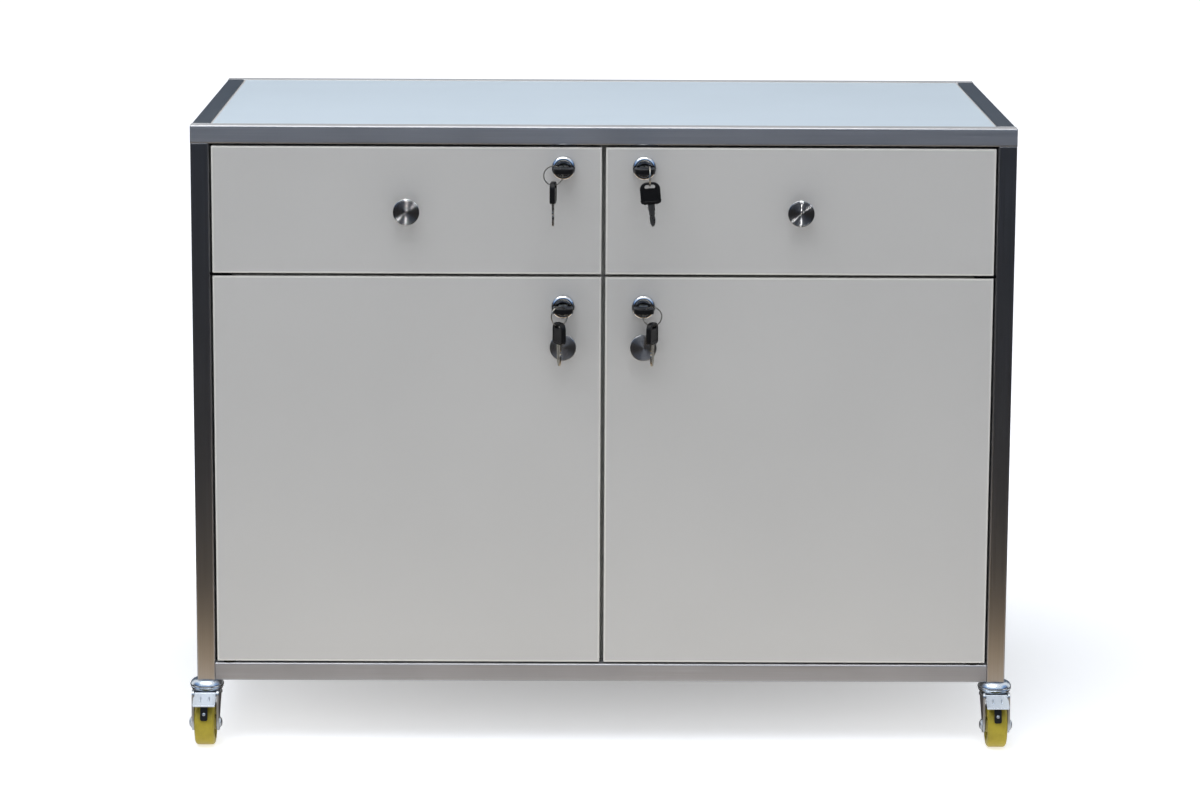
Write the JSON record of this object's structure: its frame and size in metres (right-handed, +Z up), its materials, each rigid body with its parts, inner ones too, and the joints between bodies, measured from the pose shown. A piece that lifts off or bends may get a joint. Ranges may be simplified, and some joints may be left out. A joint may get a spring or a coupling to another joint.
{
  "type": "mobile medical cabinet",
  "caption": "Wheeled medical cabinet of square stainless tube with an inset worktop, locking drawers over locking cupboards, and braked castors.",
  "frame": {"origin": "on the floor, under the middle of the whole object's box", "axes": "+Z up, the drawers and doors face -Y, +X to the right seen from the front"},
  "size_m": [0.9176, 0.5631, 0.691],
  "materials": {
    "stainless_tube": "brushed stainless square tube",
    "worktop_laminate": "satin pale blue-white laminate",
    "front_laminate": "matt light grey laminate with edge banding",
    "carcass_laminate": "matt light grey laminate",
    "drawer_box_laminate": "matt white laminate",
    "spun_steel": "turned steel with round brush marks",
    "lock_chrome": "polished chrome plate",
    "key_plastic": "black moulded plastic",
    "wheel_polyurethane": "cast yellow polyurethane",
    "black_plastic": "moulded plastic",
    "zinc_plate": "bright zinc plate"
  },
  "bodies": {
    "cabinet": {"back_panel": "carcass_laminate", "bottom_rail_front": "stainless_tube", "bottom_rail_rear": "stainless_tube", "bottom_rails_side": "stainless_tube", "castor_heads": "zinc_plate", "castor_inserts": "black_plastic", "centre_partition": "carcass_laminate", "cupboard_shelves": "carcass_laminate", "door_catches": "black_plastic", "door_pivots": "stainless_tube", "drawer_shelves": "carcass_laminate", "floor_panel": "carcass_laminate", "frame_tabs": "stainless_tube", "lock_strikes": "stainless_tube", "posts_front": "stainless_tube", "posts_rear": "stainless_tube", "shelf_pins": "zinc_plate", "side_panel_left": "carcass_laminate", "side_panel_right": "carcass_laminate", "slide_outer_members": "zinc_plate", "top_rail_front": "stainless_tube", "top_rail_rear": "stainless_tube", "top_rails_side": "stainless_tube", "worktop_panel": "worktop_laminate"},
    "left_drawer": {"drawer_front_left": "front_laminate", "drawer_box_left": "drawer_box_laminate", "drawer_knob_left": "spun_steel", "slide_inner_left": "zinc_plate", "lock_body_drawer_left": "lock_chrome"},
    "left_slide_members": {"slide_middle_left": "zinc_plate"},
    "left_door": {"door_left": "front_laminate", "door_knob_left": "spun_steel", "lock_body_door_left": "lock_chrome"},
    "right_drawer": {"drawer_front_right": "front_laminate", "drawer_box_right": "drawer_box_laminate", "drawer_knob_right": "spun_steel", "slide_inner_right": "zinc_plate", "lock_body_drawer_right": "lock_chrome"},
    "right_slide_members": {"slide_middle_right": "zinc_plate"},
    "right_door": {"door_right": "front_laminate", "door_knob_right": "spun_steel", "lock_body_door_right": "lock_chrome"},
    "left_drawer_lock": {"lock_barrel_drawer_left": "key_plastic"},
    "left_drawer_key_ring": {"spare_key_drawer_left": "key_plastic"},
    "right_drawer_lock": {"lock_barrel_drawer_right": "key_plastic"},
    "right_drawer_key_ring": {"spare_key_drawer_right": "key_plastic"},
    "left_door_lock": {"lock_barrel_door_left": "key_plastic"},
    "left_door_key_ring": {"spare_key_door_left": "key_plastic"},
    "right_door_lock": {"lock_barrel_door_right": "key_plastic"},
    "right_door_key_ring": {"spare_key_door_right": "key_plastic"},
    "front_left_castor": {"castor_fork_front_left": "zinc_plate"},
    "front_left_wheel": {"castor_wheel_front_left": "wheel_polyurethane"},
    "front_left_brake": {"brake_pedal_front_left": "zinc_plate"},
    "front_right_castor": {"castor_fork_front_right": "zinc_plate"},
    "front_right_wheel": {"castor_wheel_front_right": "wheel_polyurethane"},
    "front_right_brake": {"brake_pedal_front_right": "zinc_plate"},
    "rear_left_castor": {"castor_fork_rear_left": "zinc_plate"},
    "rear_left_wheel": {"castor_wheel_rear_left": "wheel_polyurethane"},
    "rear_right_castor": {"castor_fork_rear_right": "zinc_plate"},
    "rear_right_wheel": {"castor_wheel_rear_right": "wheel_polyurethane"}
  },
  "joints": [
    {"name": "left_drawer_slide", "type": "slide", "parent": "cabinet", "child": "left_drawer", "axis": [0, -1, 0], "range_m": [0, 0.38]},
    {"name": "left_middle_slide", "type": "slide", "parent": "cabinet", "child": "left_slide_members", "axis": [0, -1, 0], "range_m": [0, 0.19]},
    {"name": "left_door_hinge", "type": "hinge", "parent": "cabinet", "child": "left_door", "pos_m": [-0.4143, -0.2197, 0.309], "axis": [0, 0, -1], "range_deg": [0, 110]},
    {"name": "right_drawer_slide", "type": "slide", "parent": "cabinet", "child": "right_drawer", "axis": [0, -1, 0], "range_m": [0, 0.38]},
    {"name": "right_middle_slide", "type": "slide", "parent": "cabinet", "child": "right_slide_members", "axis": [0, -1, 0], "range_m": [0, 0.19]},
    {"name": "right_door_hinge", "type": "hinge", "parent": "cabinet", "child": "right_door", "pos_m": [0.4143, -0.2197, 0.309], "axis": [0, 0, 1], "range_deg": [0, 110]},
    {"name": "left_drawer_lock_turn", "type": "hinge", "parent": "left_drawer", "child": "left_drawer_lock", "pos_m": [-0.044, -0.2272, 0.6463], "axis": [0, 1, 0], "range_deg": [0, 90]},
    {"name": "left_drawer_ring_swing", "type": "hinge", "parent": "left_drawer_lock", "child": "left_drawer_key_ring", "pos_m": [-0.05235, -0.2617, 0.6463], "axis": [0, 1, 0], "range_deg": [-20, 20]},
    {"name": "right_drawer_lock_turn", "type": "hinge", "parent": "right_drawer", "child": "right_drawer_lock", "pos_m": [0.044, -0.2272, 0.6463], "axis": [0, -1, 0], "range_deg": [0, 90]},
    {"name": "right_drawer_ring_swing", "type": "hinge", "parent": "right_drawer_lock", "child": "right_drawer_key_ring", "pos_m": [0.0488, -0.26505, 0.6463], "axis": [-1, 0, 0], "range_deg": [0, 30]},
    {"name": "left_door_lock_turn", "type": "hinge", "parent": "left_door", "child": "left_door_lock", "pos_m": [-0.044, -0.2272, 0.4933], "axis": [0, 1, 0], "range_deg": [0, 90]},
    {"name": "left_door_ring_swing", "type": "hinge", "parent": "left_door_lock", "child": "left_door_key_ring", "pos_m": [-0.0464, -0.26505, 0.4933], "axis": [-0.5299, 0.848, 0], "range_deg": [0, 20]},
    {"name": "right_door_lock_turn", "type": "hinge", "parent": "right_door", "child": "right_door_lock", "pos_m": [0.044, -0.2272, 0.4933], "axis": [0, -1, 0], "range_deg": [0, 90]},
    {"name": "right_door_ring_swing", "type": "hinge", "parent": "right_door_lock", "child": "right_door_key_ring", "pos_m": [0.05235, -0.2617, 0.4933], "axis": [0, 1, 0], "range_deg": [-20, 20]},
    {"name": "front_left_swivel", "type": "hinge", "parent": "cabinet", "child": "front_left_castor", "pos_m": [-0.44, -0.2172, 0.055], "axis": [0, 0, 1], "continuous": true},
    {"name": "front_left_wheel_spin", "type": "hinge", "parent": "front_left_castor", "child": "front_left_wheel", "pos_m": [-0.44, -0.2392, 0.025], "axis": [1, 0, 0], "continuous": true},
    {"name": "front_left_brake_lift", "type": "hinge", "parent": "front_left_castor", "child": "front_left_brake", "pos_m": [-0.44, -0.2412, 0.057], "axis": [-1, 0, 0], "range_deg": [0, 15]},
    {"name": "front_right_swivel", "type": "hinge", "parent": "cabinet", "child": "front_right_castor", "pos_m": [0.44, -0.2172, 0.055], "axis": [0, 0, 1], "continuous": true},
    {"name": "front_right_wheel_spin", "type": "hinge", "parent": "front_right_castor", "child": "front_right_wheel", "pos_m": [0.44, -0.2392, 0.025], "axis": [1, 0, 0], "continuous": true},
    {"name": "front_right_brake_lift", "type": "hinge", "parent": "front_right_castor", "child": "front_right_brake", "pos_m": [0.44, -0.2412, 0.057], "axis": [-1, 0, 0], "range_deg": [0, 15]},
    {"name": "rear_left_swivel", "type": "hinge", "parent": "cabinet", "child": "rear_left_castor", "pos_m": [-0.44, 0.2628, 0.055], "axis": [0, 0, 1], "continuous": true},
    {"name": "rear_left_wheel_spin", "type": "hinge", "parent": "rear_left_castor", "child": "rear_left_wheel", "pos_m": [-0.44, 0.2408, 0.025], "axis": [1, 0, 0], "continuous": true},
    {"name": "rear_right_swivel", "type": "hinge", "parent": "cabinet", "child": "rear_right_castor", "pos_m": [0.44, 0.2628, 0.055], "axis": [0, 0, 1], "continuous": true},
    {"name": "rear_right_wheel_spin", "type": "hinge", "parent": "rear_right_castor", "child": "rear_right_wheel", "pos_m": [0.44, 0.2408, 0.025], "axis": [1, 0, 0], "continuous": true}
  ],
  "couplings": [
    {"joint": "left_middle_slide", "follows": "left_drawer_slide", "ratio": 0.5},
    {"joint": "right_middle_slide", "follows": "right_drawer_slide", "ratio": 0.5}
  ]
}
